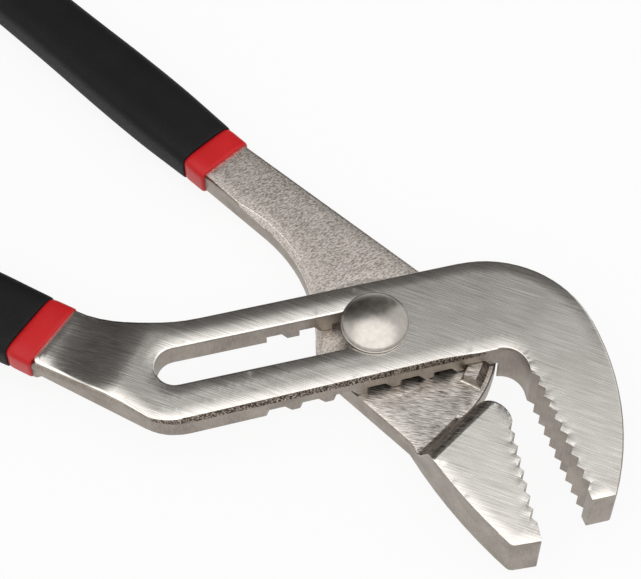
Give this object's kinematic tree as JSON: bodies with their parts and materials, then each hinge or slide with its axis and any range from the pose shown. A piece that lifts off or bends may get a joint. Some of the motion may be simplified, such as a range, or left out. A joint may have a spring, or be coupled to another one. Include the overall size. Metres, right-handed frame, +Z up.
{
  "type": "groove-joint slip pliers",
  "caption": "Adjustable hand pliers with curved toothed jaws, a slotted half whose arc grooves take a tongue on the other half, a domed pivot bolt and two-layer soft grips.",
  "frame": {"origin": "where the pivot's axis meets the end of the pivot bolt, on the plane that the tool is laid on", "axes": "+X along the tool from handles to jaws, +Y across it from the slotted half's handle to the other handle, +Z up along the pivot's axis from nut to bolt head"},
  "size_m": [0.2517, 0.1082, 0.0201],
  "materials": {
    "satin_nickel": "forged steel, nickel plated, ground to a satin with fine diagonal lines",
    "blasted_nickel": "forged steel, nickel plated over a coarse blasted skin, jaw ground to a satin",
    "polished_steel": "polished plated steel",
    "plated_steel": "plain plated steel",
    "red_vinyl": "smooth red dipped vinyl, half gloss",
    "black_vinyl": "matte black vinyl with a fine pebbled skin"
  },
  "bodies": {
    "slotted_half": {"front_half": "satin_nickel", "front_grip_liner": "red_vinyl", "front_grip_sleeve": "black_vinyl"},
    "pivot": {"pivot_bolt": "polished_steel", "pivot_nut": "plated_steel"},
    "tongue_half": {"back_half": "blasted_nickel", "back_grip_liner": "red_vinyl", "back_grip_sleeve": "black_vinyl"}
  },
  "joints": [
    {"name": "position_slide", "type": "slide", "parent": "slotted_half", "child": "pivot", "axis": [0.6613, 0.7501, 0], "range_m": [-0.0408, 0]},
    {"name": "jaw_hinge", "type": "hinge", "parent": "pivot", "child": "tongue_half", "pos_m": [0, 0, 0.0108], "axis": [0, 0, 1], "range_deg": [-42, 13]}
  ]
}
